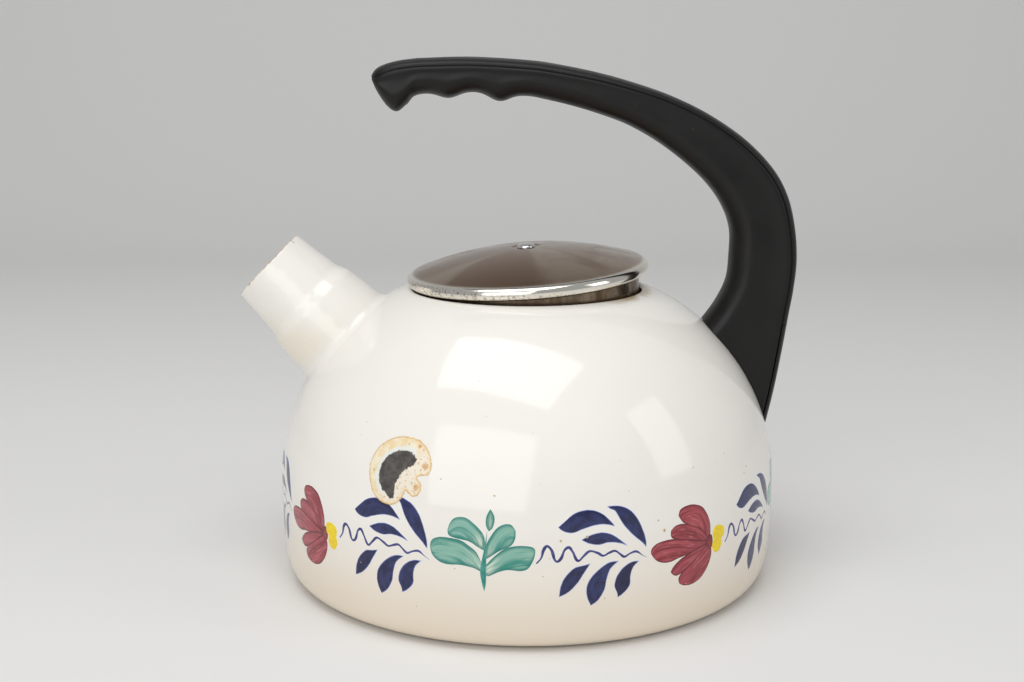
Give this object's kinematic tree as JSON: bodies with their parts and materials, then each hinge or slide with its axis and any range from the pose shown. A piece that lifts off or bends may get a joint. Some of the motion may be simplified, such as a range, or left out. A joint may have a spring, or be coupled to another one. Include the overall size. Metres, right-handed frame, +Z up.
{
  "type": "stovetop kettle",
  "caption": "Round enamelled stovetop kettle with a stepped open spout, an arched free-ended handle and a lift-off plug lid.",
  "frame": {"origin": "middle of the flat base, on the body's axis, at table level", "axes": "+Z up along the body's axis, +X from the body's axis towards the handle's foot, -X towards the spout; the spout and the handle lie in the plane y = 0"},
  "size_m": [0.246, 0.22, 0.2274],
  "materials": {
    "enamel": "glossy cream-white vitreous enamel with a painted flower band, a chip and rust specks",
    "handle_plastic": "black, satin to matt, finely scratched",
    "polished_steel": "polished stainless steel, fine scratches, brown staining under the rim",
    "bare_steel": "plain sheet steel"
  },
  "bodies": {
    "kettle": {"body_shell": "enamel", "base_pan": "enamel", "spout": "enamel", "handle": "handle_plastic", "handle_cover": "handle_plastic", "handle_bracket": "bare_steel", "handle_screw_lower": "bare_steel", "handle_screw_upper": "bare_steel"},
    "lid": {"lid_dome": "polished_steel", "lid_skirt": "polished_steel", "lid_spring": "bare_steel", "lid_rivet": "polished_steel", "lid_washer": "bare_steel"}
  },
  "joints": [
    {"name": "lid_lift", "type": "slide", "parent": "kettle", "child": "lid", "axis": [0, 0, 1], "range_m": [0, 0.05]}
  ]
}
